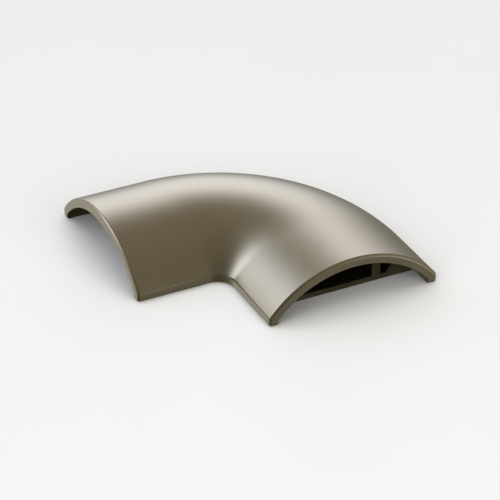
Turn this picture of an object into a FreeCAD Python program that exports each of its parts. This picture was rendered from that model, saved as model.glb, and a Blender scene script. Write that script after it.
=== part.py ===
import FreeCAD, Part
import math
import os
import Sketcher

# A flat right-angle corner for an over-floor cable cover. An arched cover stands on its two
# feet over a channelled base tray, which foam pads and three countersunk screws hold to the floor.
#
# Every body is drawn about the bend's own axis: local +Z is that axis, the right arm leaves
# along -Y from the XZ plane, and the left arm leaves along -X from the YZ plane. In a section
# sketch, x is the distance from the bend's axis and y is the height above the floor. The
# bodies' placements then put the origin at the middle of the footprint, on the floor.

SIZES = [
    ("cover_width", 84.4, "across the two feet of the arch"),
    ("cover_height", 24.3, "floor to crest"),
    ("skirt_height", 4.2, "upright skirt below the arch"),
    ("cover_wall", 4.25, "thickness of the arch and of its skirts"),
    ("arm_run", 35.2, "straight length of each arm beyond the bend"),
    ("bend_radius", 8.6, "plan radius of the inner foot"),
    ("crease_radius", 1.6, "rounding between skirt and arch"),
    ("foot_radius", 1.3, "rounding of each foot's outer lower edge"),
    ("end_radius", 1.5, "rounding of the cover's two end faces"),
    ("lip_radius", 0.35, "rounding of the end faces' inner edge"),
    ("socket_depth", 12.3, "how far the base stops short of the cover's ends"),
    ("side_gap", 1.9, "between a skirt and the base beside it"),
    ("arch_gap", 0.5, "between the arch and what stands under it"),
    ("floor_thickness", 2.7, "plate of the base tray"),
    ("flank_width", 13.25, "each flank of the tray, where it meets the plate"),
    ("flank_lean", 6.2, "how far a flank's outer face leans in"),
    ("flank_land", 2.0, "flat top of each flank"),
    ("divider_width", 4.5, "thickness of the divider"),
    ("groove_width", 2.85, "narrow groove between the divider and the outer flank"),
    ("top_radius", 0.5, "rounding of the divider's and flanks' top edges"),
    ("core_wall", 2.4, "what is left around a flank's hollow"),
    ("core_end", 3.0, "closed end of a flank's hollow"),
    ("core_rib", 2.5, "rib across a flank's hollow where an arm meets the bend"),
    ("core_rib_angle", 2.5, "the same rib seen from the bend's axis, in degrees"),
    ("leg_set_back", 1.5, "from the bend to the grip legs under an arm"),
    ("leg_length", 9.0, "length of a grip leg along an arm"),
    ("leg_sweep", 16.0, "length of a grip leg in the bend, in degrees"),
    ("leg_gap", 0.4, "between a grip leg and the flank or divider beside it"),
    ("leg_tip_gap", 1.0, "between a grip leg's tip and the plate"),
    ("screw_hole", 4.2, "diameter of each screw hole"),
    ("screw_head", 7.8, "diameter of each countersink"),
    ("pad_thickness", 0.8, "foam pad under the tray"),
    ("pad_margin", 2.0, "from a pad's edges to the tray's end, the bend, a flank or the divider"),
    ("pad_hole", 10.0, "diameter of the hole in a pad around its screw"),
]

RIGHT_ANGLE = 90.0
HALF_WAY = RIGHT_ANGLE / 2
AXIS_POINT = FreeCAD.Vector(0, 0, 0)
UPRIGHT = FreeCAD.Vector(0, 0, 1)
VOLUME_TOLERANCE = 0.001

# Formulas that several sketches share, on the sheet's values.
AXIS_TO_MIDDLE = "(Sizes.bend_radius + Sizes.cover_width / 2)"
ARCH_RISE = "(Sizes.cover_height - Sizes.skirt_height)"
ARCH_RADIUS = f"(((Sizes.cover_width / 2)^2 + {ARCH_RISE}^2) / (2 * {ARCH_RISE}))"
INSIDE_RADIUS = f"({ARCH_RADIUS} - Sizes.cover_wall)"
UNDER_ARCH = f"({INSIDE_RADIUS} - Sizes.arch_gap)"
FLANK_FOOT = "(Sizes.cover_width / 2 - Sizes.cover_wall - Sizes.side_gap)"
FLANK_INSIDE = f"({FLANK_FOOT} - Sizes.flank_width)"
LAND_OUTSIDE = f"({FLANK_FOOT} - Sizes.flank_lean)"
LAND_INSIDE = f"({LAND_OUTSIDE} - Sizes.flank_land)"
DIVIDER_FAR = f"({FLANK_INSIDE} - Sizes.groove_width)"
DIVIDER_NEAR = f"({DIVIDER_FAR} - Sizes.divider_width)"
PLATE_TOP = "(Sizes.pad_thickness + Sizes.floor_thickness)"
BASE_RUN = "(Sizes.arm_run - Sizes.socket_depth)"
CHANNEL_INNER = f"({AXIS_TO_MIDDLE} - {FLANK_INSIDE})"
CHANNEL_OUTER = f"({AXIS_TO_MIDDLE} + {DIVIDER_NEAR})"
CHANNEL_MIDDLE = f"(({CHANNEL_INNER} + {CHANNEL_OUTER}) / 2)"

doc = FreeCAD.newDocument("corner_elbow")
sheet = doc.addObject("Spreadsheet::Sheet", "Sizes")
for row, (name, value, meaning) in enumerate(SIZES, 1):
    sheet.set(f"A{row}", name)
    sheet.set(f"B{row}", str(value))
    sheet.set(f"C{row}", meaning)
    sheet.setAlias(f"B{row}", name)
doc.recompute()


def number(formula):
    """The present value of a formula on the sheet."""
    return float(sheet.evalExpression(formula))


def new_body(name):
    """A body whose local origin, on the bend's axis, is moved back from the footprint's middle."""
    body = doc.addObject("PartDesign::Body", name)
    body.Label = name
    for side in "xy":
        centre = "-(Sizes.bend_radius + Sizes.cover_width - Sizes.arm_run) / 2"
        body.setExpression(f"Placement.Base.{side}", centre)
    return body


class Sketch:
    """A sketch on one of its body's origin planes, with constraints driven by the sheet."""

    ORIGIN = (-1, 1)

    def __init__(self, body, plane, name, ahead=None, turned=None):
        self.item = body.newObject("Sketcher::SketchObject", name)
        face = [part for part in body.Origin.OriginFeatures if part.Role == plane]
        self.item.AttachmentSupport = (face[0], [""])
        self.item.MapMode = "FlatFace"
        if turned:
            turn = FreeCAD.Rotation(FreeCAD.Vector(0, 1, 0), number(turned))
            self.item.AttachmentOffset = FreeCAD.Placement(FreeCAD.Vector(), turn)
            self.item.setExpression("AttachmentOffset.Rotation.Angle", turned)
        if ahead:
            self.item.setExpression("AttachmentOffset.Base.z", ahead)

    def add(self, shape, construction=False):
        return self.item.addGeometry(shape, construction)

    def bind(self, kind, *places):
        self.item.addConstraint(Sketcher.Constraint(kind, *places))

    def drive(self, kind, formula, *places):
        """A sized constraint that keeps following its formula."""
        index = self.item.addConstraint(Sketcher.Constraint(kind, *places, number(formula)))
        self.item.setExpression(f"Constraints[{index}]", formula)

    def outline(self, points):
        """A closed outline of straight lines. Line i starts at point i."""
        lines = []
        for here, there in zip(points, points[1:] + points[:1]):
            lines.append(self.add(Part.LineSegment(FreeCAD.Vector(*here), FreeCAD.Vector(*there))))
        for line, following in zip(lines, lines[1:] + lines[:1]):
            self.bind("Coincident", line, 2, following, 1)
        return lines

    def place_x(self, line, formula):
        self.drive("DistanceX", formula, *self.ORIGIN, line, 1)

    def place_y(self, line, formula):
        self.drive("DistanceY", formula, *self.ORIGIN, line, 1)

    def arch_guide(self, radius):
        """A construction circle about the arch's centre, for corners that keep to the arch."""
        middle = number(AXIS_TO_MIDDLE)
        below = number(ARCH_RADIUS) - number("Sizes.cover_height")
        centre = FreeCAD.Vector(middle, -below)
        guide = self.add(Part.Circle(centre, UPRIGHT, number(radius)), True)
        self.drive("Radius", radius, guide)
        self.drive("DistanceX", AXIS_TO_MIDDLE, *self.ORIGIN, guide, 3)
        self.drive("DistanceY", f"{ARCH_RADIUS} - Sizes.cover_height", guide, 3, *self.ORIGIN)
        return guide


def under_arch(radius, distance):
    """Height of a point on the arch's guide circle, at a distance from the bend's axis."""
    across = distance - number(AXIS_TO_MIDDLE)
    depth = number(ARCH_RADIUS) - number("Sizes.cover_height")
    return math.sqrt(number(radius) ** 2 - across**2) - depth


def volume(body):
    return 0 if body.Shape.isNull() else body.Shape.Volume


def swept(sketch, made):
    """Volume that a sketch's face sweeps through a pocket's length or round a groove's angle."""
    face = Part.Face(sketch.item.Shape.Wires)
    if made.TypeId == "PartDesign::Pocket":
        return face.Area * made.Length.Value
    away = face.CenterOfMass.distanceToLine(AXIS_POINT, UPRIGHT)
    return face.Area * away * math.radians(made.Angle.Value)


def expect(name, change, wanted):
    """Stops the build if a cut took away more or less than it was meant to."""
    if abs(change - wanted) > VOLUME_TOLERANCE * wanted:
        raise RuntimeError(f"{name} took away {change:.2f} mm3 and not {wanted:.2f}")


def feature(body, kind, name, sketch, reverse=False, **formulas):
    """A pad, pocket, revolution or groove of a sketch, with its sizes driven by the sheet."""
    before = volume(body)
    made = body.newObject(f"PartDesign::{kind}", name)
    made.Profile = sketch.item
    if kind in ("Revolution", "Groove"):
        made.ReferenceAxis = (sketch.item, ["V_Axis"])
    made.Reversed = reverse
    for size, formula in formulas.items():
        made.setExpression(size, formula)
    sketch.item.Visibility = False
    doc.recompute()
    if kind in ("Pocket", "Groove"):
        expect(name, before - volume(body), swept(sketch, made))
    elif volume(body) <= before:
        raise RuntimeError(f"{name} added nothing")
    return made


def sweep_elbow(body, draw, run):
    """Carries a section along the right arm, round the bend and along the left arm."""
    across = draw(body, "XZ_Plane", "right_section")
    feature(body, "Pad", "right_arm", across, Length=run)
    feature(body, "Revolution", "bend", across, Angle=str(RIGHT_ANGLE))
    along = draw(body, "YZ_Plane", "left_section")
    return feature(body, "Pad", "left_arm", along, reverse=True, Length=run)


def round_edges(body, base, name, radius, wanted):
    """Rounds the edges of the base feature that the test picks out."""
    edges = base.Shape.Edges
    picked = [f"Edge{place}" for place, edge in enumerate(edges, 1) if wanted(edge)]
    rounded = body.newObject("PartDesign::Fillet", name)
    rounded.Base = (base, picked)
    rounded.setExpression("Radius", radius)
    doc.recompute()
    return rounded


def across_section(point):
    """Distance of a point of a body's local shape from the bend's axis, measured across its arm."""
    if point.x > 0 and point.y > 0:
        return math.hypot(point.x, point.y)
    return max(point.x, point.y)


def middle_of(edge):
    return edge.valueAt((edge.FirstParameter + edge.LastParameter) / 2)


def near(one, other):
    return abs(one - other) < 1e-4


# --- Cover -------------------------------------------------------------------------------------
# An arched shell with an even wall, standing on two upright skirts. Inside it, tapered legs
# reach down beside the tray's flanks and grip them, so that it pulls straight up off the tray.


def arch_section(body, plane, name):
    sketch = Sketch(body, plane, name)
    inner = number("Sizes.bend_radius")
    outer = inner + number("Sizes.cover_width")
    wall = number("Sizes.cover_wall")
    skirt = number("Sizes.skirt_height")
    middle = number(AXIS_TO_MIDDLE)
    centre = FreeCAD.Vector(middle, number("Sizes.cover_height") - number(ARCH_RADIUS))

    def line(start, end):
        return sketch.add(Part.LineSegment(FreeCAD.Vector(*start), FreeCAD.Vector(*end)))

    def arch(radius, half_span):
        reach = math.acos(half_span / radius)
        circle = Part.Circle(centre, UPRIGHT, radius)
        return sketch.add(Part.ArcOfCircle(circle, reach, math.pi - reach))

    half = outer - middle
    spring = under_arch(INSIDE_RADIUS, outer - wall)
    outer_skirt = line((outer, 0), (outer, skirt))
    top = arch(number(ARCH_RADIUS), half)
    inner_skirt = line((inner, skirt), (inner, 0))
    inner_foot = line((inner, 0), (inner + wall, 0))
    inner_wall = line((inner + wall, 0), (inner + wall, spring))
    under = arch(number(INSIDE_RADIUS), half - wall)
    outer_wall = line((outer - wall, spring), (outer - wall, 0))
    outer_foot = line((outer - wall, 0), (outer, 0))
    joined = [
        (outer_skirt, 2, top, 1),
        (top, 2, inner_skirt, 1),
        (inner_skirt, 2, inner_foot, 1),
        (inner_foot, 2, inner_wall, 1),
        (inner_wall, 2, under, 2),
        (under, 1, outer_wall, 1),
        (outer_wall, 2, outer_foot, 1),
        (outer_foot, 2, outer_skirt, 1),
        (top, 3, under, 3),
    ]
    for places in joined:
        sketch.bind("Coincident", *places)
    for upright in (outer_skirt, inner_skirt, inner_wall, outer_wall):
        sketch.bind("Vertical", upright)
    for level in (inner_foot, outer_foot):
        sketch.bind("Horizontal", level)
    sketch.bind("Equal", inner_foot, outer_foot)
    sketch.bind("Equal", inner_skirt, outer_skirt)
    sketch.bind("PointOnObject", inner_foot, 1, -1)
    sketch.bind("PointOnObject", outer_foot, 1, -1)
    sketch.place_x(inner_foot, "Sizes.bend_radius")
    sketch.drive("DistanceX", "Sizes.cover_width", inner_foot, 1, outer_foot, 2)
    sketch.drive("DistanceX", "Sizes.cover_wall", inner_foot, 1, inner_foot, 2)
    sketch.drive("DistanceY", "Sizes.skirt_height", outer_skirt, 1, outer_skirt, 2)
    sketch.drive("Radius", ARCH_RADIUS, top)
    sketch.drive("Radius", INSIDE_RADIUS, under)
    return sketch


def leg_section(body, plane, name, side, **where):
    """One grip leg, between the lines of the divider's far face and a flank's inner face.

    side is 1 for the leg beside the divider, and -1 for its mirror image across the arch.
    """
    sketch = Sketch(body, plane, name, **where)
    middle = number(AXIS_TO_MIDDLE)
    sign = "+" if side > 0 else "-"
    low = middle + side * number(FLANK_INSIDE)
    high = middle + side * number(LAND_INSIDE)
    free = middle + side * number(f"{DIVIDER_FAR} + Sizes.leg_gap")
    limit = sketch.arch_guide(UNDER_ARCH)
    flank = sketch.add(
        Part.LineSegment(
            FreeCAD.Vector(low, number(PLATE_TOP)),
            FreeCAD.Vector(high, under_arch(UNDER_ARCH, high)),
        ),
        True,
    )
    sketch.place_x(flank, f"{AXIS_TO_MIDDLE} {sign} {FLANK_INSIDE}")
    sketch.place_y(flank, PLATE_TOP)
    across = f"{AXIS_TO_MIDDLE} {sign} {LAND_INSIDE}"
    sketch.drive("DistanceX", across, *sketch.ORIGIN, flank, 2)
    sketch.bind("PointOnObject", flank, 2, limit)

    rooted = f"({ARCH_RADIUS} - Sizes.cover_wall / 2)"
    root = sketch.arch_guide(rooted)
    tip = number(f"{PLATE_TOP} + Sizes.leg_tip_gap")
    lean = high - low
    points = [(free, tip), (low, tip)]
    points += [(across, under_arch(rooted, across)) for across in (low + lean, free + lean)]
    end, flank_side, _, free_side = sketch.outline(points)
    sketch.bind("Horizontal", end)
    sketch.place_x(end, f"{AXIS_TO_MIDDLE} {sign} ({DIVIDER_FAR} + Sizes.leg_gap)")
    sketch.place_y(end, f"{PLATE_TOP} + Sizes.leg_tip_gap")
    sketch.bind("Parallel", flank_side, flank)
    sketch.bind("Parallel", free_side, flank)
    sketch.drive("Distance", "Sizes.leg_gap", flank_side, 1, flank)
    sketch.bind("PointOnObject", flank_side, 2, root)
    sketch.bind("PointOnObject", free_side, 1, root)
    return sketch


cover = new_body("cover")
shell = sweep_elbow(cover, arch_section, "Sizes.arm_run")

inner_foot_at = number("Sizes.bend_radius")
outer_foot_at = inner_foot_at + number("Sizes.cover_width")
arm_end = -number("Sizes.arm_run")


def on_outside(edge):
    """Whether an edge runs along one of the cover's two outer upright faces."""
    distance = across_section(middle_of(edge))
    return near(distance, inner_foot_at) or near(distance, outer_foot_at)


def at_height(edge, height):
    return all(near(point.z, height) for point in (edge.Vertexes[0].Point, middle_of(edge)))


def in_end_face(edge):
    """Whether an edge lies in one of the two end faces."""
    ends = [corner.Point for corner in edge.Vertexes] + [middle_of(edge)]
    return any(all(near(getattr(end, side), arm_end) for end in ends) for side in "xy")


def from_arch_centre(point):
    """Distance from the line that the arch's section is centred on."""
    across = across_section(point) - number(AXIS_TO_MIDDLE)
    depth = number(ARCH_RADIUS) - number("Sizes.cover_height")
    return math.hypot(across, point.z + depth)


def on_end_rim(edge):
    """Whether an edge belongs to an end face's outer outline, from one foot over to the other."""
    if not in_end_face(edge):
        return False
    point = middle_of(edge)
    reach = abs(across_section(point) - number(AXIS_TO_MIDDLE))
    beyond_foot = reach > number("Sizes.cover_width / 2 - Sizes.cover_wall") + 1e-3
    return beyond_foot or from_arch_centre(point) > number(INSIDE_RADIUS) + 1e-3


def on_end_lip(edge):
    """Whether an edge belongs to an end face's inner outline."""
    return in_end_face(edge) and not on_end_rim(edge)


skirt_level = number("Sizes.skirt_height")
creased = round_edges(
    cover, shell, "creases", "Sizes.crease_radius",
    lambda edge: on_outside(edge) and at_height(edge, skirt_level),
)
footed = round_edges(
    cover, creased, "foot_edges", "Sizes.foot_radius",
    lambda edge: on_outside(edge) and at_height(edge, 0),
)
rimmed = round_edges(cover, footed, "end_rims", "Sizes.end_radius", on_end_rim)
lipped = round_edges(cover, rimmed, "end_lips", "Sizes.lip_radius", on_end_lip)

for side_name, side in (("inner", -1), ("outer", 1)):
    sketch = leg_section(
        cover, "XZ_Plane", f"right_{side_name}_leg", side,
        ahead="Sizes.leg_set_back",
    )
    feature(cover, "Pad", f"right_{side_name}_grip", sketch, Length="Sizes.leg_length")
    sketch = leg_section(
        cover, "YZ_Plane", f"left_{side_name}_leg", side,
        ahead="-(Sizes.leg_set_back + Sizes.leg_length)",
    )
    feature(cover, "Pad", f"left_{side_name}_grip", sketch, Length="Sizes.leg_length")
    sketch = leg_section(
        cover, "XZ_Plane", f"bend_{side_name}_leg", side,
        turned=f"{HALF_WAY} - Sizes.leg_sweep / 2",
    )
    feature(cover, "Revolution", f"bend_{side_name}_grip", sketch, Angle="Sizes.leg_sweep")


# --- Base tray ---------------------------------------------------------------------------------
# A moulded tray that stops short of the cover's ends. A flank stands along each side, a divider
# parts the wide cable channel from a narrow groove, and the flanks are hollow from below.


def tray_section(body, plane, name):
    sketch = Sketch(body, plane, name)
    middle = number(AXIS_TO_MIDDLE)
    limit = sketch.arch_guide(UNDER_ARCH)
    # Each corner: which side of the middle it lies on, its distance from there and its level.
    corners = [
        ("-", FLANK_FOOT, "Sizes.pad_thickness"),
        ("-", LAND_OUTSIDE, None),
        ("-", LAND_INSIDE, None),
        ("-", FLANK_INSIDE, PLATE_TOP),
        ("+", DIVIDER_NEAR, PLATE_TOP),
        ("+", DIVIDER_NEAR, None),
        ("+", DIVIDER_FAR, None),
        ("+", DIVIDER_FAR, PLATE_TOP),
        ("+", FLANK_INSIDE, PLATE_TOP),
        ("+", LAND_INSIDE, None),
        ("+", LAND_OUTSIDE, None),
        ("+", FLANK_FOOT, "Sizes.pad_thickness"),
    ]
    points = []
    for sign, distance, level in corners:
        away = middle + (number(distance) if sign == "+" else -number(distance))
        points.append((away, number(level) if level else under_arch(UNDER_ARCH, away)))
    for line, (sign, distance, level) in zip(sketch.outline(points), corners):
        sketch.place_x(line, f"{AXIS_TO_MIDDLE} {sign} ({distance})")
        if level:
            sketch.place_y(line, level)
        else:
            sketch.bind("PointOnObject", line, 1, limit)
    return sketch


def core_section(body, plane, name, side, **where):
    """The hollow of one flank, open below. side is 1 at the divider, -1 opposite."""
    sketch = Sketch(body, plane, name, **where)
    middle = number(AXIS_TO_MIDDLE)
    sign = "+" if side > 0 else "-"
    lid = f"({UNDER_ARCH} - Sizes.core_wall)"
    limit = sketch.arch_guide(lid)
    corners = [
        (f"{FLANK_FOOT} - Sizes.core_wall", "Sizes.pad_thickness"),
        (f"{LAND_OUTSIDE} - Sizes.flank_land / 4", None),
        (f"{LAND_INSIDE} + Sizes.flank_land / 4", None),
        (f"{FLANK_INSIDE} + Sizes.core_wall * 3 / 4", "Sizes.pad_thickness"),
    ]
    points = []
    for distance, level in corners:
        away = middle + side * number(distance)
        points.append((away, number(level) if level else under_arch(lid, away)))
    for line, (distance, level) in zip(sketch.outline(points), corners):
        sketch.place_x(line, f"{AXIS_TO_MIDDLE} {sign} ({distance})")
        if level:
            sketch.place_y(line, level)
        else:
            sketch.bind("PointOnObject", line, 1, limit)
    return sketch


base = new_body("base")
tray = sweep_elbow(base, tray_section, BASE_RUN)


def on_top_edge(edge):
    """Whether an edge runs along the top of the divider or of a flank, as the bend goes."""
    ends = [corner.Point for corner in edge.Vertexes]
    point = middle_of(edge)
    lengthwise = near(ends[0].z, ends[-1].z) and near(ends[0].z, point.z)
    along = all(near(across_section(end), across_section(point)) for end in ends)
    high = point.z > number(PLATE_TOP) + 1e-3
    return lengthwise and along and high and edge.Length > number("Sizes.divider_width")


topped = round_edges(base, tray, "top_edges", "Sizes.top_radius", on_top_edge)

core_run = f"({BASE_RUN} - Sizes.core_end - Sizes.core_rib / 2)"
for side_name, side in (("inner", -1), ("outer", 1)):
    sketch = core_section(base, "XZ_Plane", f"right_{side_name}_core", side,
                          ahead="Sizes.core_rib / 2")
    feature(base, "Pocket", f"right_{side_name}_hollow", sketch, reverse=True, Length=core_run)
    sketch = core_section(base, "YZ_Plane", f"left_{side_name}_core", side,
                          ahead=f"-(Sizes.core_rib / 2 + {core_run})")
    feature(base, "Pocket", f"left_{side_name}_hollow", sketch, reverse=True, Length=core_run)
    sketch = core_section(base, "XZ_Plane", f"bend_{side_name}_core", side,
                          turned="Sizes.core_rib_angle")
    feature(base, "Groove", f"bend_{side_name}_hollow", sketch,
            Angle=f"{RIGHT_ANGLE} - 2 * Sizes.core_rib_angle")


def screw_places():
    """Formulas for the three screws, on the middle of the wide channel: right, bend, left."""
    lean = f"{CHANNEL_MIDDLE} * cos({HALF_WAY})"
    back = f"-({BASE_RUN}) / 2"
    return {"right": (CHANNEL_MIDDLE, back), "corner": (lean, lean), "left": (back, CHANNEL_MIDDLE)}


def circles(sketch, places, diameter):
    for place in places:
        centre = FreeCAD.Vector(*(number(formula) for formula in place))
        circle = sketch.add(Part.Circle(centre, UPRIGHT, number(diameter) / 2))
        sketch.drive("Diameter", diameter, circle)
        for kind, formula in zip(("DistanceX", "DistanceY"), place):
            if number(formula) < 0:
                sketch.drive(kind, f"-({formula})", circle, 3, *sketch.ORIGIN)
            else:
                sketch.drive(kind, formula, *sketch.ORIGIN, circle, 3)


solid_tray = volume(base)
marks = Sketch(base, "XY_Plane", "screw_marks", ahead=PLATE_TOP)
circles(marks, screw_places().values(), "Sizes.screw_hole")
doc.recompute()
holes = base.newObject("PartDesign::Hole", "screw_holes")
holes.Profile = marks.item
holes.DepthType = "ThroughAll"
holes.HoleCutType = "Countersink"
holes.HoleCutCustomValues = True
holes.setExpression("Diameter", "Sizes.screw_hole")
holes.setExpression("HoleCutDiameter", "Sizes.screw_head")
holes.HoleCutCountersinkAngle = RIGHT_ANGLE
marks.item.Visibility = False
doc.recompute()
hole_radius = number("Sizes.screw_hole") / 2
head_radius = number("Sizes.screw_head") / 2
head_depth = head_radius - hole_radius
cone = math.pi * head_depth * (head_radius**2 + head_radius * hole_radius + hole_radius**2) / 3
shank = math.pi * hole_radius**2 * (number("Sizes.floor_thickness") - head_depth)
expect("screw_holes", solid_tray - volume(base), len(screw_places()) * (cone + shank))


# --- Foam pads ---------------------------------------------------------------------------------
# Die-cut double-sided foam between the tray's plate and the floor: one under each arm and a
# curved one under the bend, each with a hole around its screw.

PAD_INNER = f"({CHANNEL_INNER} + Sizes.pad_margin)"
PAD_OUTER = f"({CHANNEL_OUTER} - Sizes.pad_margin)"


def pad_section(body, plane, name, **where):
    sketch = Sketch(body, plane, name, **where)
    corners = [
        (PAD_INNER, None),
        (PAD_OUTER, None),
        (PAD_OUTER, "Sizes.pad_thickness"),
        (PAD_INNER, "Sizes.pad_thickness"),
    ]
    points = [(number(away), number(level) if level else 0) for away, level in corners]
    for line, (away, level) in zip(sketch.outline(points), corners):
        sketch.place_x(line, away)
        if level:
            sketch.place_y(line, level)
        else:
            sketch.bind("PointOnObject", line, 1, -1)
    return sketch


def pierce(body, place):
    """The hole through a pad around its screw."""
    sketch = Sketch(body, "XY_Plane", "screw_mark")
    circles(sketch, [place], "Sizes.pad_hole")
    feature(body, "Pocket", "screw_clearance", sketch, reverse=True, Length="Sizes.pad_thickness")


pad_run = f"({BASE_RUN} - 2 * Sizes.pad_margin)"
pad_turn = f"(Sizes.pad_margin / {CHANNEL_MIDDLE} * 180 / pi)"

right_pad = new_body("pad_right")
sketch = pad_section(right_pad, "XZ_Plane", "section", ahead="Sizes.pad_margin")
feature(right_pad, "Pad", "strip", sketch, Length=pad_run)
pierce(right_pad, screw_places()["right"])

left_pad = new_body("pad_left")
sketch = pad_section(left_pad, "YZ_Plane", "section", ahead=f"-(Sizes.pad_margin + {pad_run})")
feature(left_pad, "Pad", "strip", sketch, Length=pad_run)
pierce(left_pad, screw_places()["left"])

corner_pad = new_body("pad_corner")
sketch = pad_section(corner_pad, "XZ_Plane", "section", turned=pad_turn)
feature(corner_pad, "Revolution", "strip", sketch, Angle=f"{RIGHT_ANGLE} - 2 * {pad_turn}")
pierce(corner_pad, screw_places()["corner"])

# --- Checks and files --------------------------------------------------------------------------

doc.recompute()
for item in doc.Objects:
    if {"Invalid", "Error"} & set(item.State):
        raise RuntimeError(f"{item.Name} failed: {item.State}")

PIECES = (cover, base, right_pad, left_pad, corner_pad)
os.makedirs("parts", exist_ok=True)
for piece in PIECES:
    shape = piece.Shape
    if shape.isNull() or not shape.isValid() or len(shape.Solids) != 1:
        raise RuntimeError(f"{piece.Label} isn't one sound solid")
for piece in PIECES:
    piece.Shape.exportStep(f"parts/{piece.Label}.step")
    box = piece.Shape.BoundBox
    print(
        f"{piece.Label}: {piece.Shape.Volume:.0f} mm3,"
        f" x {box.XMin:.2f} to {box.XMax:.2f}, y {box.YMin:.2f} to {box.YMax:.2f},"
        f" z {box.ZMin:.2f} to {box.ZMax:.2f}"
    )
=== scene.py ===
from math import acos, cos, e, hypot, pi, radians, sin, sqrt, tan

import bmesh
import bpy
from mathutils import Matrix, Vector


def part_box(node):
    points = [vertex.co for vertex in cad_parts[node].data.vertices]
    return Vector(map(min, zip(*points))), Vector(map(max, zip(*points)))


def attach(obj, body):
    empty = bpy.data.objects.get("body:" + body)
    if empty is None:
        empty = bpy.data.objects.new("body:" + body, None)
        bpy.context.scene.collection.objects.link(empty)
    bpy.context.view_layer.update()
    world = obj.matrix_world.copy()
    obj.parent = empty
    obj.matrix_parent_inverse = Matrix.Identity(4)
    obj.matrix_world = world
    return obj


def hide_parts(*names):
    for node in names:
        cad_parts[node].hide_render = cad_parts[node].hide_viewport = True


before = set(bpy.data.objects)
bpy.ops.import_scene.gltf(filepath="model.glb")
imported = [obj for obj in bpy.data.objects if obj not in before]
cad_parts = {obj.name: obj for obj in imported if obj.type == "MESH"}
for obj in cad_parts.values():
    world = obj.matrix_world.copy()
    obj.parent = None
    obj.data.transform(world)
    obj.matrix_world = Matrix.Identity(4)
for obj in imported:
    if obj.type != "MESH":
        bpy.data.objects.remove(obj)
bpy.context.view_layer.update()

# Studio. Big soft lights stand low beyond the object, behind it and to its left, and weaker ones
# and dim warm walls surround the rest, so that satin metal shades from pale to dark over each
# curve. The camera looks down on the inner corner through a long lens.
AIM = Vector((-0.00748, -0.01869, 0.01133))
CAMERA_TURN, CAMERA_TILT = radians(26.4), radians(32.22)
CAMERA_DISTANCE = 1.2249
LENS_LENGTH = 194.96
FARTHEST_SEEN = 50.0
# Each light: its compass angle from +X, its height above the horizon, how tightly it is
# gathered, and its colour at the middle.
SOFT_LIGHTS = [
    (65, 20, 14.0, (0.92, 0.95, 1.05)),
    (64, 29, 28.0, (0.51, 0.54, 0.64)),
    (67, 7, 40.0, (0.38, 0.48, 0.58)),
    (137, 32, 15.5, (1.24, 1.34, 1.47)),
    (124, 36, 40.0, (0.27, 0.39, 0.62)),
    (151, 33, 40.0, (0.43, 0.52, 0.64)),
    (170, 15, 10.0, (0.16, 0.17, 0.20)),
    (-39, -1, 5.5, (0.39, 0.38, 0.34)),
    (-54, -9, 60.0, (0.40, 0.37, 0.32)),
    (113, -9, 3.6, (0.46, 0.45, 0.45)),
    (118, -30, 20.0, (0.14, 0.15, 0.13)),
    (29, 66, 1.9, (0.18, 0.155, 0.125)),
]
WALLS = (0.118, 0.108, 0.067)
# Lights that only the matt floor and foam take up: their place, size and power.
FLOOR_LIGHTS = [
    ("overhead", (0.2, 0.2, 2.5), 3.0, 30.0),
    ("front_left", (-1.6, -0.9, 0.75), 1.6, 16.5),
    ("front_right", (0.5, -1.9, 0.75), 1.6, 16.5),
]

lens = bpy.data.cameras.new("camera")
lens.lens = LENS_LENGTH
lens.clip_end = FARTHEST_SEEN
camera = bpy.data.objects.new("camera", lens)
camera.rotation_euler = (pi / 2 - CAMERA_TILT, 0, -CAMERA_TURN)
looking = camera.rotation_euler.to_matrix() @ Vector((0, 0, -1))
camera.location = AIM - looking * CAMERA_DISTANCE
bpy.context.scene.collection.objects.link(camera)
bpy.context.scene.camera = camera
bpy.context.scene.view_settings.view_transform = "Standard"


class Shade:
    """One value in a shader. Arithmetic on it adds the Math nodes that work it out."""

    def __init__(self, finish, socket):
        self.finish = finish
        self.socket = socket

    def maths(self, operation, *values):
        return self.finish.node("ShaderNodeMath", {"operation": operation}, dict(enumerate(values)))

    def __add__(self, other):
        return self.maths("ADD", self, other)

    def __sub__(self, other):
        return self.maths("SUBTRACT", self, other)

    def __rsub__(self, other):
        return self.maths("SUBTRACT", other, self)

    def __mul__(self, other):
        return self.maths("MULTIPLY", self, other)

    def __pow__(self, other):
        return self.maths("POWER", self, other)

    def __rpow__(self, other):
        return self.maths("POWER", other, self)

    __radd__ = __add__
    __rmul__ = __mul__


class Finish:
    """The node tree of a material or of the room around the object."""

    def __init__(self, owner):
        owner.use_nodes = True
        self.owner = owner
        self.tree = owner.node_tree
        self.tree.nodes.clear()

    def node(self, kind, settings=None, sockets=None, output=0):
        """Adds a node: its settings come first, then the values or links of its sockets."""
        made = self.tree.nodes.new(kind)
        for name, value in (settings or {}).items():
            if name == "stops":
                ramp = made.color_ramp
                while len(ramp.elements) < len(value):
                    ramp.elements.new(0.5)
                for element, (place, colour) in zip(ramp.elements, value):
                    element.position = place
                    element.color = (*colour, 1)
            else:
                setattr(made, name, value)
        for name, value in (sockets or {}).items():
            if isinstance(value, Shade):
                self.tree.links.new(value.socket, self.find(made.inputs, name))
            else:
                self.find(made.inputs, name).default_value = value
        return Shade(self, self.find(made.outputs, output)) if made.outputs else None

    def find(self, row, name):
        """A socket by its place or by its name. A Mix node's sockets share names but not marks."""
        if isinstance(name, int):
            return row[name]
        return next(socket for socket in row if name in (socket.name, socket.identifier))

    def vectors(self, operation, *values, output=0):
        return self.node(
            "ShaderNodeVectorMath", {"operation": operation}, dict(enumerate(values)), output
        )


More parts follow.
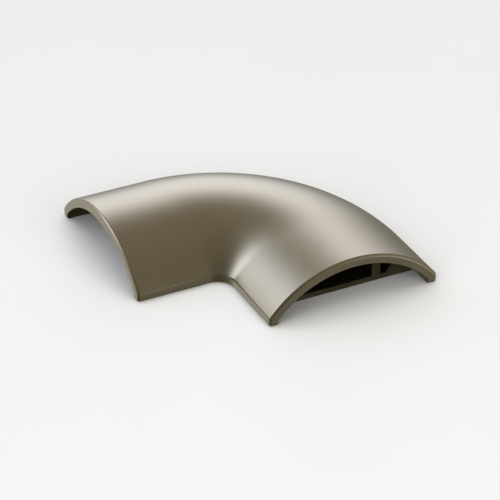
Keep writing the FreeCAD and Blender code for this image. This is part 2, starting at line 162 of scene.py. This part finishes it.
room = Finish(bpy.data.worlds.new("room"))
bpy.context.scene.world = room.owner
direction = room.node("ShaderNodeTexCoord", output="Generated")
glow = room.vectors("ADD", WALLS, (0, 0, 0))
for compass, height, tightness, colour in SOFT_LIGHTS:
    level = cos(radians(height))
    towards = (level * cos(radians(compass)), level * sin(radians(compass)), sin(radians(height)))
    facing = room.vectors("DOT_PRODUCT", direction, towards, output="Value")
    glow = room.vectors("MULTIPLY_ADD", colour, e ** ((facing - 1) * tightness), glow)
background = room.node("ShaderNodeBackground", {}, {"Color": glow, "Strength": 1.0})
room.node("ShaderNodeOutputWorld", {}, {"Surface": background})

for name, position, size, power in FLOOR_LIGHTS:
    lamp = bpy.data.lights.new(name, "AREA")
    lamp.shape = "DISK"
    lamp.size = size
    lamp.energy = power
    floor_light = bpy.data.objects.new(name, lamp)
    floor_light.location = position
    floor_light.rotation_euler = Vector(position).to_track_quat("Z", "Y").to_euler()
    floor_light.visible_glossy = False
    bpy.context.scene.collection.objects.link(floor_light)

# Floor. A seamless pale matt sheet with the faintest mottling. Polished things don't mirror it.
FLOOR_SIDE = 30.0

floor_shape = bmesh.new()
bmesh.ops.create_grid(floor_shape, x_segments=1, y_segments=1, size=FLOOR_SIDE / 2)
floor_mesh = bpy.data.meshes.new("floor")
floor_shape.to_mesh(floor_mesh)
floor_shape.free()
floor = bpy.data.objects.new("floor", floor_mesh)
bpy.context.scene.collection.objects.link(floor)
floor.visible_glossy = False
sheet = Finish(bpy.data.materials.new("pale_floor"))
spot = sheet.node("ShaderNodeTexCoord", output="Object")
mottle = sheet.node("ShaderNodeTexNoise", {}, {"Vector": spot, "Scale": 9.0, "Detail": 2.0})
paper_colour = sheet.node(
    "ShaderNodeValToRGB",
    {"stops": [(0.3, (0.855, 0.86, 0.875)), (0.7, (0.875, 0.88, 0.895))]},
    {"Fac": mottle},
)
paper = sheet.node("ShaderNodeBsdfPrincipled", {}, {"Base Color": paper_colour, "Roughness": 0.9})
sheet.node("ShaderNodeOutputMaterial", {}, {"Surface": paper})
floor_mesh.materials.append(sheet.owner)

# Foam pads. Three die-cut strips of black closed-cell foam, sticky on both faces, lie on the
# floor: one under each arm of the tray and a curved one under its bend. Each has a round hole
# that leaves room around a screw.
PAD_SET_BACK = 0.0020
PAD_HOLE_RADIUS = 0.0050
PAD_ROUNDING = 0.00012
CUTTER_MARGIN = 0.0005
BEND_STEPS = 72
HOLE_STEPS = 64
SAME_POINT = 1e-7
SHARPEST_SMOOTH_ANGLE = radians(35)
SQUARE_EDGE_ANGLE = radians(60)

pad_low, pad_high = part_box("pad_right")
bend_axis = Vector((pad_high.y + PAD_SET_BACK, pad_high.y + PAD_SET_BACK, 0))
channel_middle = (pad_low.x + pad_high.x) / 2 - bend_axis.x
screw_back = bend_axis.y - (pad_low.y + pad_high.y) / 2
lean = channel_middle * cos(pi / 4)
screw_right = bend_axis + Vector((channel_middle, -screw_back, 0))
screw_corner = bend_axis + Vector((lean, lean, 0))
screw_left = bend_axis + Vector((-screw_back, channel_middle, 0))


def parts_of(kind, geometry):
    return [item for item in geometry if isinstance(item, kind)]


def ring_at(shape, outline, back):
    """A closed ring of edges with this outline, across the right arm, a distance from the bend."""
    corners = [shape.verts.new((bend_axis.x + x, bend_axis.y - back, z)) for x, z in outline]
    return [shape.edges.new(pair) for pair in zip(corners, corners[1:] + corners[:1])]


def pull(shape, edges, way):
    """Extrudes edges in a straight line and gives the far edges."""
    grown = bmesh.ops.extrude_edge_only(shape, edges=edges)["geom"]
    bmesh.ops.translate(shape, verts=parts_of(bmesh.types.BMVert, grown), vec=way)
    return parts_of(bmesh.types.BMEdge, grown)


def turn(shape, edges, angle, steps):
    """Spins edges about the bend's axis and gives the far edges."""
    corners = list({corner for edge in edges for corner in edge.verts})
    spun = bmesh.ops.spin(
        shape, geom=corners + edges, cent=bend_axis, axis=(0, 0, 1), dvec=(0, 0, 0),
        angle=angle, steps=steps, use_merge=False, use_normal_flip=False, use_duplicate=False,
    )
    return parts_of(bmesh.types.BMEdge, spun["geom_last"])


def close(shape, *rings):
    """Puts a face on each open ring and turns all faces outwards."""
    for ring in rings:
        bmesh.ops.contextual_create(shape, geom=ring)
    bmesh.ops.recalc_face_normals(shape, faces=shape.faces)
    return shape


def arm_block(outline, near, far):
    """A section carried along the right arm only, between two distances from the bend."""
    shape = bmesh.new()
    first = ring_at(shape, outline, near)
    return close(shape, first, pull(shape, first, (0, near - far, 0)))


def bend_block(outline, start, sweep):
    """A section carried round part of the bend, by angles from the right arm."""
    shape = bmesh.new()
    first = ring_at(shape, outline, 0)
    last = turn(shape, first, sweep, round(BEND_STEPS * sweep / (pi / 2)))
    close(shape, first, last)
    swing = Matrix.Rotation(start, 3, "Z")
    bmesh.ops.rotate(shape, verts=shape.verts, cent=bend_axis, matrix=swing)
    return shape


def other_arm(shape):
    """The same shape on the left arm: its mirror image across the bend's upright middle plane."""
    swapped = shape.copy()
    exchange = Matrix(((0, 1, 0, 0), (1, 0, 0, 0), (0, 0, 1, 0), (0, 0, 0, 1)))
    bmesh.ops.transform(swapped, matrix=exchange, verts=swapped.verts)
    bmesh.ops.reverse_faces(swapped, faces=swapped.faces)
    return swapped


def turned_tool(profile, centre):
    """A solid of revolution on an upright axis, from a profile of radii and heights."""
    shape = bmesh.new()
    corners = [shape.verts.new((radius, 0, z)) for radius, z in profile]
    edges = [shape.edges.new(pair) for pair in zip(corners, corners[1:])]
    bmesh.ops.spin(
        shape, geom=corners + edges, cent=(0, 0, 0), axis=(0, 0, 1), dvec=(0, 0, 0),
        angle=2 * pi, steps=HOLE_STEPS, use_merge=True, use_normal_flip=False,
        use_duplicate=False,
    )
    bmesh.ops.remove_doubles(shape, verts=shape.verts, dist=SAME_POINT)
    bmesh.ops.recalc_face_normals(shape, faces=shape.faces)
    bmesh.ops.translate(shape, verts=shape.verts, vec=centre)
    return shape


def round_off(shape, radius, steps, wanted):
    """Rounds every edge that the test picks out."""
    bmesh.ops.bevel(
        shape, geom=[edge for edge in shape.edges if wanted(edge)], offset=radius,
        offset_type="OFFSET", segments=steps, profile=0.5, affect="EDGES", material=-1,
        clamp_overlap=True,
    )


def named_object(name, shape):
    """Turns a finished shape into an object that stands at the origin."""
    mesh = bpy.data.meshes.new(name)
    bmesh.ops.remove_doubles(shape, verts=shape.verts, dist=SAME_POINT)
    shape.to_mesh(mesh)
    shape.free()
    made = bpy.data.objects.new(name, mesh)
    bpy.context.scene.collection.objects.link(made)
    return made


def carve(body, name, shapes, operation):
    """Adds the shapes to a body, or cuts them out of it, and keeps the result as its mesh."""
    together = bmesh.new()
    for shape in shapes:
        piece = bpy.data.meshes.new(name)
        shape.to_mesh(piece)
        shape.free()
        together.from_mesh(piece)
    tool = named_object(name, together)
    step = body.modifiers.new(name, "BOOLEAN")
    step.operation = operation
    step.solver = "EXACT"
    step.object = tool
    worked = body.evaluated_get(bpy.context.evaluated_depsgraph_get())
    finished = bpy.data.meshes.new_from_object(worked)
    body.modifiers.clear()
    body.data = finished
    bpy.data.objects.remove(tool)


def even_shading(body):
    """Smooths the roundings, keeps real edges sharp and lets the broad faces set the shading."""
    body.data.shade_smooth()
    body.data.set_sharp_from_angle(angle=SHARPEST_SMOOTH_ANGLE)
    evened = body.modifiers.new("shading", "WEIGHTED_NORMAL")
    evened.weight = 100
    evened.keep_sharp = True


pad_outline = [
    (pad_low.x - bend_axis.x, 0),
    (pad_high.x - bend_axis.x, 0),
    (pad_high.x - bend_axis.x, pad_high.z),
    (pad_low.x - bend_axis.x, pad_high.z),
]
pad_turn = PAD_SET_BACK / channel_middle
arm_pad = arm_block(pad_outline, PAD_SET_BACK, bend_axis.y - pad_low.y)
corner_pad = bend_block(pad_outline, pad_turn, pi / 2 - 2 * pad_turn)

foam = Finish(bpy.data.materials.new("black_closed_cell_foam"))
spot = foam.node("ShaderNodeTexCoord", output="Object")
cells = foam.node("ShaderNodeTexVoronoi", {}, {"Vector": spot, "Scale": 2800.0})
patches = foam.node("ShaderNodeTexNoise", {}, {"Vector": spot, "Scale": 260.0, "Detail": 4.0})
foam_colour = foam.node(
    "ShaderNodeValToRGB",
    {"stops": [(0.1, (0.012, 0.012, 0.013)), (0.5, (0.030, 0.030, 0.031)),
               (0.9, (0.052, 0.051, 0.050))]},
    {"Fac": cells * 0.6 + patches * 0.5},
)
foam_bump = foam.node("ShaderNodeBump", {}, {"Height": cells, "Distance": 0.00008, "Strength": 0.7})
foam_skin = foam.node(
    "ShaderNodeBsdfPrincipled", {},
    {"Base Color": foam_colour, "Roughness": 0.84 + patches * 0.14, "Normal": foam_bump},
)
foam.node("ShaderNodeOutputMaterial", {}, {"Surface": foam_skin})

for node, shape, centre in [
    ("pad_left", other_arm(arm_pad), screw_left),
    ("pad_right", arm_pad, screw_right),
    ("pad_corner", corner_pad, screw_corner),
]:
    round_off(shape, PAD_ROUNDING, 2, lambda edge: edge.calc_face_angle() > SQUARE_EDGE_ANGLE)
    pad = named_object("foam_" + node, shape)
    hole = [
        (0, -CUTTER_MARGIN),
        (PAD_HOLE_RADIUS, -CUTTER_MARGIN),
        (PAD_HOLE_RADIUS, pad_high.z + CUTTER_MARGIN),
        (0, pad_high.z + CUTTER_MARGIN),
    ]
    carve(pad, "hole", [turned_tool(hole, centre)], "DIFFERENCE")
    even_shading(pad)
    pad.data.materials.append(foam.owner)
    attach(pad, "base")
    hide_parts(node)

# Base tray. A bronze moulding that stops short of the cover's ends. Its colour is the cover's
# bronze made a little darker as cast and much darker again as painted shade, for the shade that
# falls on it under the cover. A flank stands along each side and a divider parts the wide channel
# from a narrow groove. The flanks are hollow from below, and three countersunk screws go down
# through the channel's floor.
COVER_WIDTH = 0.0844
SKIRT_HEIGHT = 0.0042
COVER_WALL = 0.00425
ARCH_GAP = 0.0005
FLANK_FOOT, FLANK_INSIDE = 0.03605, 0.0228
LAND_OUTSIDE, LAND_INSIDE = 0.02985, 0.02785
DIVIDER_FAR, DIVIDER_NEAR = 0.01995, 0.01545
FLOOR_THICKNESS = 0.0027
TOP_ROUNDING = 0.00045
END_ROUNDING = 0.0005
CORE_WALL = 0.0024
CORE_END, CORE_RIB = 0.0030, 0.00125
CORE_TOP_OUTSIDE, CORE_TOP_INSIDE = 0.02935, 0.02835
CORE_FOOT_INSIDE = 0.0246
CORE_RIB_TURN = radians(2.5)
SCREW_RADIUS, HEAD_RADIUS = 0.0021, 0.0039
PLACE_TOLERANCE = 2e-6

tray_low, tray_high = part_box("base")
cover_low, cover_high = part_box("cover")
tray_run = bend_axis.y - tray_low.y
middle = tray_high.x - bend_axis.x - FLANK_FOOT
half_width = COVER_WIDTH / 2
arch_rise = cover_high.z - SKIRT_HEIGHT
arch_radius = (half_width**2 + arch_rise**2) / (2 * arch_rise)
arch_centre = Vector((middle, cover_high.z - arch_radius))
inside_radius = arch_radius - COVER_WALL
plate_under, plate_top = tray_low.z, tray_low.z + FLOOR_THICKNESS


def on_arch(radius, distance):
    """The point of an arch's circle at a distance from the bend's axis."""
    return Vector((distance, arch_centre.y + sqrt(radius**2 - (distance - middle) ** 2)))


def elbow(outline, run):
    """A section carried along the right arm, round the bend and along the left arm."""
    shape = bmesh.new()
    first = ring_at(shape, outline, run)
    at_bend = pull(shape, first, (0, run, 0))
    past_bend = turn(shape, at_bend, pi / 2, BEND_STEPS)
    last = pull(shape, past_bend, (-run, 0, 0))
    return close(shape, first, last)


def place(point):
    """A point's section coordinates: its distance from the bend's axis, and its height."""
    x, y = point.x - bend_axis.x, point.y - bend_axis.y
    return Vector((hypot(x, y) if x > 0 and y > 0 else max(x, y), point.z))


def same(one, other):
    return abs(one - other) < PLACE_TOLERANCE


def edge_runs_at(edge, distance, height):
    """Whether an edge runs along the elbow at this distance from the axis and this height."""
    spots = [place(corner.co) for corner in edge.verts]
    return all(same(spot.x, distance) and same(spot.y, height) for spot in spots)


def in_end_face(edge, run):
    back = [[same(corner.co[side] - bend_axis[side], -run) for corner in edge.verts]
            for side in (0, 1)]
    return any(all(both) for both in back)


def mirrored(outline):
    """An outline on the other side of the arch."""
    return [(2 * middle - x, z) for x, z in reversed(outline)]


under_arch = inside_radius - ARCH_GAP
tops = [
    on_arch(under_arch, middle + away)
    for away in (-LAND_OUTSIDE, -LAND_INSIDE, DIVIDER_NEAR, DIVIDER_FAR, LAND_INSIDE, LAND_OUTSIDE)
]
tray_outline = [
    (middle - FLANK_FOOT, plate_under),
    *tops[:2],
    (middle - FLANK_INSIDE, plate_top),
    (middle + DIVIDER_NEAR, plate_top),
    *tops[2:4],
    (middle + DIVIDER_FAR, plate_top),
    (middle + FLANK_INSIDE, plate_top),
    *tops[4:],
    (middle + FLANK_FOOT, plate_under),
]
tray_shape = elbow(tray_outline, tray_run)
round_off(
    tray_shape, TOP_ROUNDING, 4,
    lambda edge: any(edge_runs_at(edge, top.x, top.y) for top in tops),
)
round_off(tray_shape, END_ROUNDING, 3, lambda edge: in_end_face(edge, tray_run))
tray = named_object("tray", tray_shape)

lid = under_arch - CORE_WALL
core_outline = [
    (middle + FLANK_FOOT - CORE_WALL, plate_under - CUTTER_MARGIN),
    (middle + FLANK_FOOT - CORE_WALL, plate_under),
    *(on_arch(lid, middle + away) for away in (CORE_TOP_OUTSIDE, CORE_TOP_INSIDE)),
    (middle + CORE_FOOT_INSIDE, plate_under),
    (middle + CORE_FOOT_INSIDE, plate_under - CUTTER_MARGIN),
]
cores = []
for outline in (core_outline, mirrored(core_outline)):
    arm_core = arm_block(outline, CORE_RIB, tray_run - CORE_END)
    cores += [arm_core, other_arm(arm_core)]
    cores.append(bend_block(outline, CORE_RIB_TURN, pi / 2 - 2 * CORE_RIB_TURN))
carve(tray, "hollows", cores, "DIFFERENCE")
head_depth = HEAD_RADIUS - SCREW_RADIUS
countersink = [
    (0, plate_under - CUTTER_MARGIN),
    (SCREW_RADIUS, plate_under - CUTTER_MARGIN),
    (SCREW_RADIUS, plate_top - head_depth),
    (HEAD_RADIUS + CUTTER_MARGIN, plate_top + CUTTER_MARGIN),
    (0, plate_top + CUTTER_MARGIN),
]
screws = [turned_tool(countersink, centre) for centre in (screw_right, screw_corner, screw_left)]
carve(tray, "screw_holes", screws, "DIFFERENCE")
even_shading(tray)

cast = Finish(bpy.data.materials.new("bronze_moulding_with_painted_shade"))
spot = cast.node("ShaderNodeTexCoord", output="Object")
grain = cast.node("ShaderNodeTexNoise", {}, {"Vector": spot, "Scale": 1900.0, "Detail": 6.0})
clouds = cast.node("ShaderNodeTexNoise", {}, {"Vector": spot, "Scale": 75.0, "Detail": 3.0})
# Painted shade: the ramp's near-black bronze stands in for the shade under the cover, on top of a
# slightly darker cast finish.
cast_colour_with_painted_shade = cast.node(
    "ShaderNodeValToRGB",
    {"stops": [(0.3, (0.070, 0.062, 0.041)), (0.7, (0.105, 0.093, 0.064))]},
    {"Fac": grain * 0.4 + clouds * 0.6},
)
cast_bump = cast.node("ShaderNodeBump", {}, {"Height": grain, "Distance": 0.00003, "Strength": 0.5})
cast_skin = cast.node(
    "ShaderNodeBsdfPrincipled", {},
    {"Base Color": cast_colour_with_painted_shade, "Metallic": 0.9, "Roughness": 0.36 + grain * 0.16,
     "Normal": cast_bump},
)
cast.node("ShaderNodeOutputMaterial", {}, {"Surface": cast_skin})
tray.data.materials.append(cast.owner)
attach(tray, "base")
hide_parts("base")

# Cover. One thick arched shell in satin bronze, which turns a right angle and stands on upright
# skirts. Its end rims are rounded, and six tapered legs underneath grip the tray's flanks.
BEND_RADIUS = 0.0086
CREASE_RADIUS = 0.0016
FOOT_RADIUS = 0.0013
RIM_RADIUS = 0.0015
LIP_RADIUS = 0.00035
ARCH_STEPS = 96
ROUNDING_STEPS = 8
LEG_GAP, LEG_TIP_GAP = 0.0004, 0.0010
LEG_SET_BACK, LEG_LENGTH = 0.0015, 0.0090
LEG_SWEEP = radians(16)
LEG_ROUNDING = 0.0003
LEG_EDGE_ANGLE = radians(30)
INSIDE_TOLERANCE = 1e-5

arm_run = bend_axis.y - cover_low.y
outer_foot = BEND_RADIUS + COVER_WIDTH
arch_reach = acos(half_width / arch_radius)


def arch(radius, half_span):
    """Points over the arch, from its outer side to its inner side, out to half_span each way."""
    reach = acos(half_span / radius)
    angles = [reach + (pi - 2 * reach) * step / ARCH_STEPS for step in range(ARCH_STEPS + 1)]
    return [arch_centre + radius * Vector((cos(angle), sin(angle))) for angle in angles]


def end_outline(edge):
    """Which outline of an end face an edge belongs to: the outer one, the inner one or neither."""
    if not in_end_face(edge, arm_run):
        return None
    spots = [place(corner.co) for corner in edge.verts]
    on_wall = all(same(abs(spot.x - middle), half_width - COVER_WALL) for spot in spots)
    overhead = all(same((spot - arch_centre).length, inside_radius) for spot in spots)
    return "inner" if on_wall or overhead else "outer"


def onto_arch(start, way, radius):
    """Where a straight line from a point meets an arch's circle."""
    out = start - arch_centre
    along = out.dot(way)
    return start + way * (sqrt(along**2 - out.length_squared + radius**2) - along)


outer_arch = arch(arch_radius, half_width)
cover_outline = [
    (outer_foot, 0),
    outer_arch[0],
    *outer_arch[2:-2],
    outer_arch[-1],
    (BEND_RADIUS, 0),
    (BEND_RADIUS + COVER_WALL, 0),
    *reversed(arch(inside_radius, half_width - COVER_WALL)),
    (outer_foot - COVER_WALL, 0),
]
cover_shape = elbow(cover_outline, arm_run)
skirts = (BEND_RADIUS, outer_foot)
round_off(
    cover_shape, CREASE_RADIUS * tan(arch_reach / 2), 4,
    lambda edge: any(edge_runs_at(edge, skirt, SKIRT_HEIGHT) for skirt in skirts),
)
round_off(
    cover_shape, FOOT_RADIUS, ROUNDING_STEPS,
    lambda edge: any(edge_runs_at(edge, skirt, 0) for skirt in skirts),
)
round_off(cover_shape, RIM_RADIUS, ROUNDING_STEPS, lambda edge: end_outline(edge) == "outer")
round_off(cover_shape, LIP_RADIUS, 3, lambda edge: end_outline(edge) == "inner")
cover = named_object("cover_shell", cover_shape)

flank_top = on_arch(under_arch, middle + LAND_INSIDE)
flank_slope = (flank_top - Vector((middle + FLANK_INSIDE, plate_top))).normalized()
clear = flank_top + LEG_GAP * Vector((-flank_slope.y, flank_slope.x))
leg_tip = plate_top + LEG_TIP_GAP
tip_far = clear + flank_slope * (leg_tip - clear.y) / flank_slope.y
tip_near = Vector((middle + DIVIDER_FAR + LEG_GAP, leg_tip))
leg_root = arch_radius - COVER_WALL / 2
leg_outline = [
    tuple(tip_near),
    tuple(tip_far),
    tuple(onto_arch(tip_far, flank_slope, leg_root)),
    tuple(onto_arch(tip_near, flank_slope, leg_root)),
]
legs = []
for outline in (leg_outline, mirrored(leg_outline)):
    arm_leg = arm_block(outline, LEG_SET_BACK, LEG_SET_BACK + LEG_LENGTH)
    legs += [arm_leg, other_arm(arm_leg), bend_block(outline, (pi / 2 - LEG_SWEEP) / 2, LEG_SWEEP)]
for leg in legs:
    round_off(
        leg, LEG_ROUNDING, 3,
        lambda edge: all(same(corner.co.z, leg_tip) for corner in edge.verts)
        and edge.calc_face_angle() > LEG_EDGE_ANGLE,
    )
carve(cover, "grip_legs", legs, "UNION")
even_shading(cover)

# The faces under the arch, from the end's lip inwards, are marked for painted shade: a near-black,
# duller bronze that stands in for the shade inside the cover.
inside = cover.data.attributes.new("inside", "FLOAT", "FACE")
for face in cover.data.polygons:
    spot = place(face.center)
    between_walls = abs(spot.x - middle) < half_width - COVER_WALL + INSIDE_TOLERANCE
    below_arch = (spot - arch_centre).length < inside_radius + INSIDE_TOLERANCE
    past_lip = min(face.center.x, face.center.y) > cover_low.x + LIP_RADIUS
    if between_walls and below_arch and past_lip:
        inside.data[face.index].value = 1

bronze = Finish(bpy.data.materials.new("satin_bronze"))
spot = bronze.node("ShaderNodeTexCoord", output="Object")
flakes = bronze.node("ShaderNodeTexVoronoi", {}, {"Vector": spot, "Scale": 5200.0}, "Color")
flake = bronze.vectors("DOT_PRODUCT", flakes, (1 / 3, 1 / 3, 1 / 3), output="Value")
peel = bronze.node("ShaderNodeTexNoise", {}, {"Vector": spot, "Scale": 620.0, "Detail": 2.0})
haze = bronze.node("ShaderNodeTexNoise", {}, {"Vector": spot, "Scale": 38.0, "Detail": 4.0})
under = bronze.node("ShaderNodeAttribute", {"attribute_name": "inside"}, output="Fac")
satin = bronze.node(
    "ShaderNodeValToRGB",
    {"stops": [(0.25, (0.385, 0.345, 0.272)), (0.5, (0.420, 0.378, 0.302)),
               (0.75, (0.455, 0.411, 0.333))]},
    {"Fac": flake * 0.5 + haze * 0.5},
)
# Painted shade: the faces under the arch get a near-black bronze in place of the shade that falls
# inside the cover.
painted_shade_under_arch = bronze.node(
    "ShaderNodeValToRGB",
    {"stops": [(0.3, (0.060, 0.050, 0.034)), (0.7, (0.095, 0.080, 0.056))]},
    {"Fac": peel * 0.5 + haze * 0.5},
)
bronze_colour = bronze.node(
    "ShaderNodeMix", {"data_type": "RGBA"}, {"Factor_Float": under, "A_Color": satin, "B_Color": painted_shade_under_arch},
    "Result_Color",
)
bronze_bump = bronze.node(
    "ShaderNodeBump", {}, {"Height": peel, "Distance": 0.000005, "Strength": 0.6}
)
bronze_skin = bronze.node(
    "ShaderNodeBsdfPrincipled", {},
    {"Base Color": bronze_colour, "Metallic": 1.0, "Normal": bronze_bump,
     "Roughness": 0.17 + haze * 0.06 + flake * 0.06 + under * 0.25},
)
bronze.node("ShaderNodeOutputMaterial", {}, {"Surface": bronze_skin})
cover.data.materials.append(bronze.owner)
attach(cover, "cover")
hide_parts("cover")
